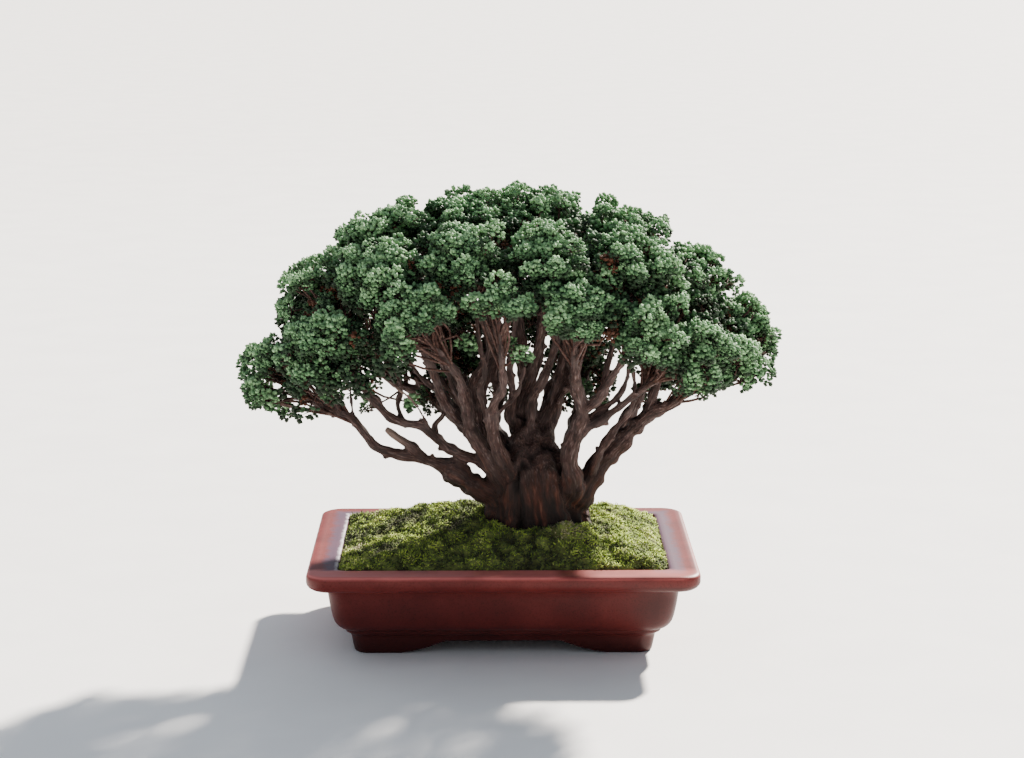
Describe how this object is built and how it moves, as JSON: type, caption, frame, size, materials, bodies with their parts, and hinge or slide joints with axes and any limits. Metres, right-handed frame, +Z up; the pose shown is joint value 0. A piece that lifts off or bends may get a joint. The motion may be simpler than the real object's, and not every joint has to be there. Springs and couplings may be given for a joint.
{
  "type": "hinoki cypress bonsai in pot",
  "caption": "Miniature evergreen tree with a spreading domed crown on a short divided trunk, growing from a mossy mound in a shallow rectangular footed clay pot.",
  "frame": {"origin": "centre of the plant's overall box, on the surface that the pot's feet stand on", "axes": "+Z up, +X along the pot's long side to the right as seen from its front, +Y away from the front"},
  "size_m": [0.3137, 0.2206, 0.2595],
  "materials": {
    "unglazed_clay": "unglazed red-brown stoneware, satin, with a pale lime bloom on the rim",
    "soil": "moist granular bonsai soil, matte",
    "moss": "short dense moss carpet, matte, yellow green to olive",
    "bark": "fibrous red-brown bark, rough",
    "foliage": "scale leaves, mid green, soft sheen"
  },
  "bodies": {
    "root": {"bough_back_high": "bark", "bough_back_left": "bark", "bough_back_right": "bark", "bough_far_right": "bark", "bough_front": "bark", "bough_front_far_right": "bark", "bough_front_left": "bark", "bough_front_left_high": "bark", "bough_front_right": "bark", "bough_front_right_high": "bark", "bough_left": "bark", "bough_left_fork": "bark", "bough_left_rear_high": "bark", "bough_low_left": "bark", "bough_low_right": "bark", "bough_mid_left": "bark", "bough_mid_right": "bark", "bough_rear_left": "bark", "bough_rear_right": "bark", "bough_right_front": "bark", "bough_right_mid": "bark", "bough_right_rear": "bark", "bough_top_left": "bark", "bough_top_mid": "bark", "bough_top_right": "bark", "bough_up_left": "bark", "foliage_back_high": "foliage", "foliage_back_left": "foliage", "foliage_back_mid_left": "foliage", "foliage_back_mid_right": "foliage", "foliage_back_right": "foliage", "foliage_back_right_high": "foliage", "foliage_far_left": "foliage", "foliage_far_right": "foliage", "foliage_front_far_right": "foliage", "foliage_front_left": "foliage", "foliage_front_left_high": "foliage", "foliage_front_mid": "foliage", "foliage_front_right": "foliage", "foliage_front_right_high": "foliage", "foliage_left_back_high": "foliage", "foliage_left_low": "foliage", "foliage_left_mid": "foliage", "foliage_mid_left": "foliage", "foliage_mid_right": "foliage", "foliage_right_front": "foliage", "foliage_right_low": "foliage", "foliage_right_mid": "foliage", "foliage_top_left": "foliage", "foliage_top_mid": "foliage", "foliage_top_right": "foliage", "foliage_up_left": "foliage", "moss": "moss", "pot": "unglazed_clay", "pot_foot_back_left": "unglazed_clay", "pot_foot_back_right": "unglazed_clay", "pot_foot_front_left": "unglazed_clay", "pot_foot_front_right": "unglazed_clay", "soil": "soil", "trunk": "bark"}
  },
  "joints": []
}
